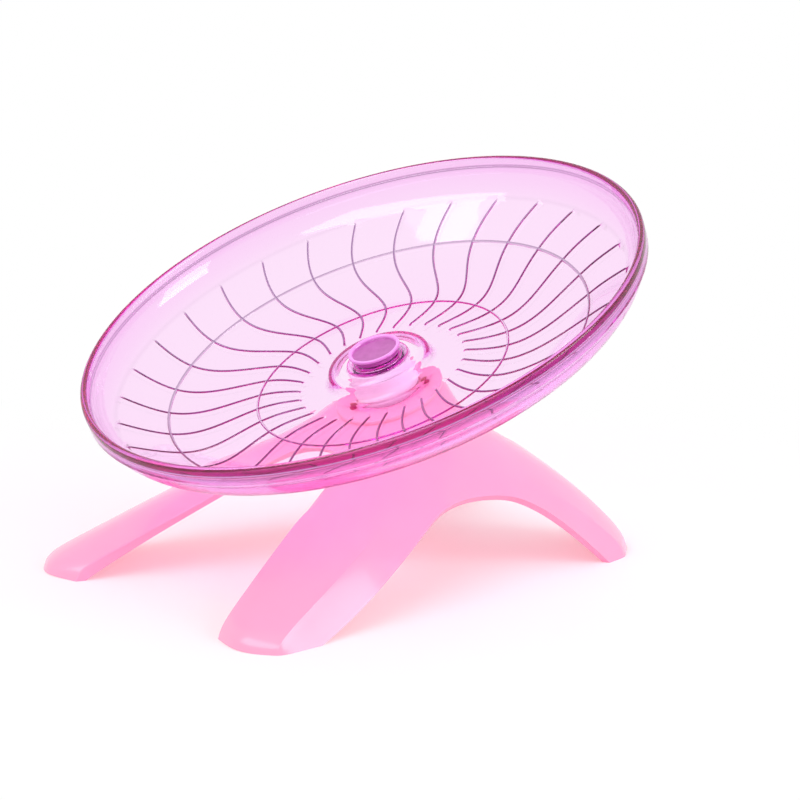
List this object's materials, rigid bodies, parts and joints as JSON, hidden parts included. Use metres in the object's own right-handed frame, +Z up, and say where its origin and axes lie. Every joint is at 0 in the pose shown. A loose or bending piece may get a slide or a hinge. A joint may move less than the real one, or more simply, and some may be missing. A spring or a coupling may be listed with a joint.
{
  "type": "pet running disc",
  "caption": "Clear tilted running dish with curved grip ribs, turning on a ball bearing above a hollow four-legged stand.",
  "frame": {"origin": "on the floor, in the middle of the object's box", "axes": "+Z up, -Y towards the low side of the dish, +X to the right seen from the low side"},
  "size_m": [0.18, 0.1678, 0.1181],
  "materials": {
    "pink_shell": "glossy opaque baby pink",
    "white_collar": "satin white",
    "clear_dish": "clear with a light pink tint",
    "magenta_cap": "glossy deep magenta",
    "bearing_steel": "ground bearing steel",
    "cage_brass": "pressed brass",
    "fastener_steel": "zinc-plated steel"
  },
  "bodies": {
    "stand": {"base_shell": "pink_shell", "bearing_collar": "white_collar", "bearing_outer_ring": "bearing_steel"},
    "running_disc": {"running_dish": "clear_dish", "hub_cap": "magenta_cap", "bearing_inner_ring": "bearing_steel", "spindle_washer": "fastener_steel", "spindle_screw": "fastener_steel"},
    "ball_set": {"bearing_cage": "cage_brass", "bearing_ball_1": "bearing_steel", "bearing_ball_2": "bearing_steel", "bearing_ball_3": "bearing_steel", "bearing_ball_4": "bearing_steel", "bearing_ball_5": "bearing_steel", "bearing_ball_6": "bearing_steel", "bearing_ball_7": "bearing_steel"}
  },
  "joints": [
    {"name": "dish_spin", "type": "hinge", "parent": "stand", "child": "running_disc", "pos_m": [0, 0.01011, 0.05817], "axis": [0, -0.4067, 0.9135], "continuous": true},
    {"name": "ball_orbit", "type": "hinge", "parent": "stand", "child": "ball_set", "pos_m": [0, 0.01011, 0.05817], "axis": [0, -0.4067, 0.9135], "continuous": true}
  ],
  "couplings": [
    {"joint": "ball_orbit", "follows": "dish_spin", "ratio": 0.35714}
  ]
}
